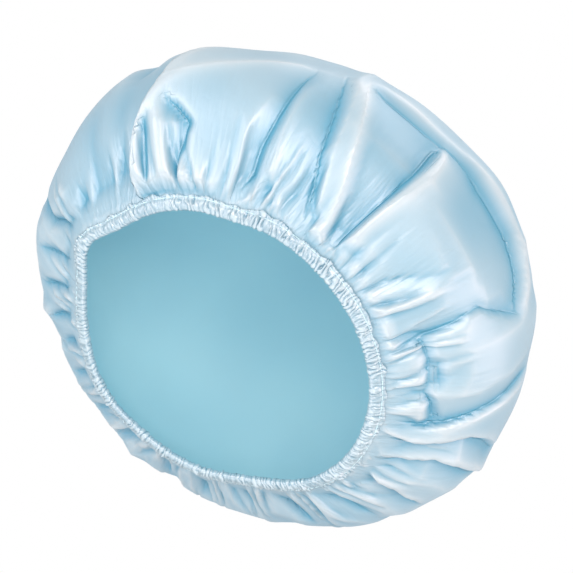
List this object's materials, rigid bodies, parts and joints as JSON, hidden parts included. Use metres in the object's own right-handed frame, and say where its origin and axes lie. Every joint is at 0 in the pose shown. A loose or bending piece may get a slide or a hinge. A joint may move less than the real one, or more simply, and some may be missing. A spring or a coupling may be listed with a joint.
{
  "type": "shower cap",
  "caption": "Lined shower cap: a round puffed crown of pale blue waterproof cloth gathered into an elastic hem that grips the head and keeps hair dry.",
  "frame": {"origin": "centre of the opening, on the plane that the hem stands on", "axes": "+Z out through the crown, as worn; -Y faces the camera side of the picture; +X to its right"},
  "size_m": [0.2906, 0.2916, 0.1606],
  "materials": {
    "outer_cloth": "satin",
    "lining": "matte",
    "binding": "satin",
    "elastic": "matte",
    "thread": "matte"
  },
  "bodies": {
    "root": {"outer_shell": "outer_cloth", "inner_liner": "lining", "hem_binding": "binding", "elastic_band": "elastic", "hem_needle_thread": "thread", "hem_bobbin_thread": "thread"}
  },
  "joints": []
}
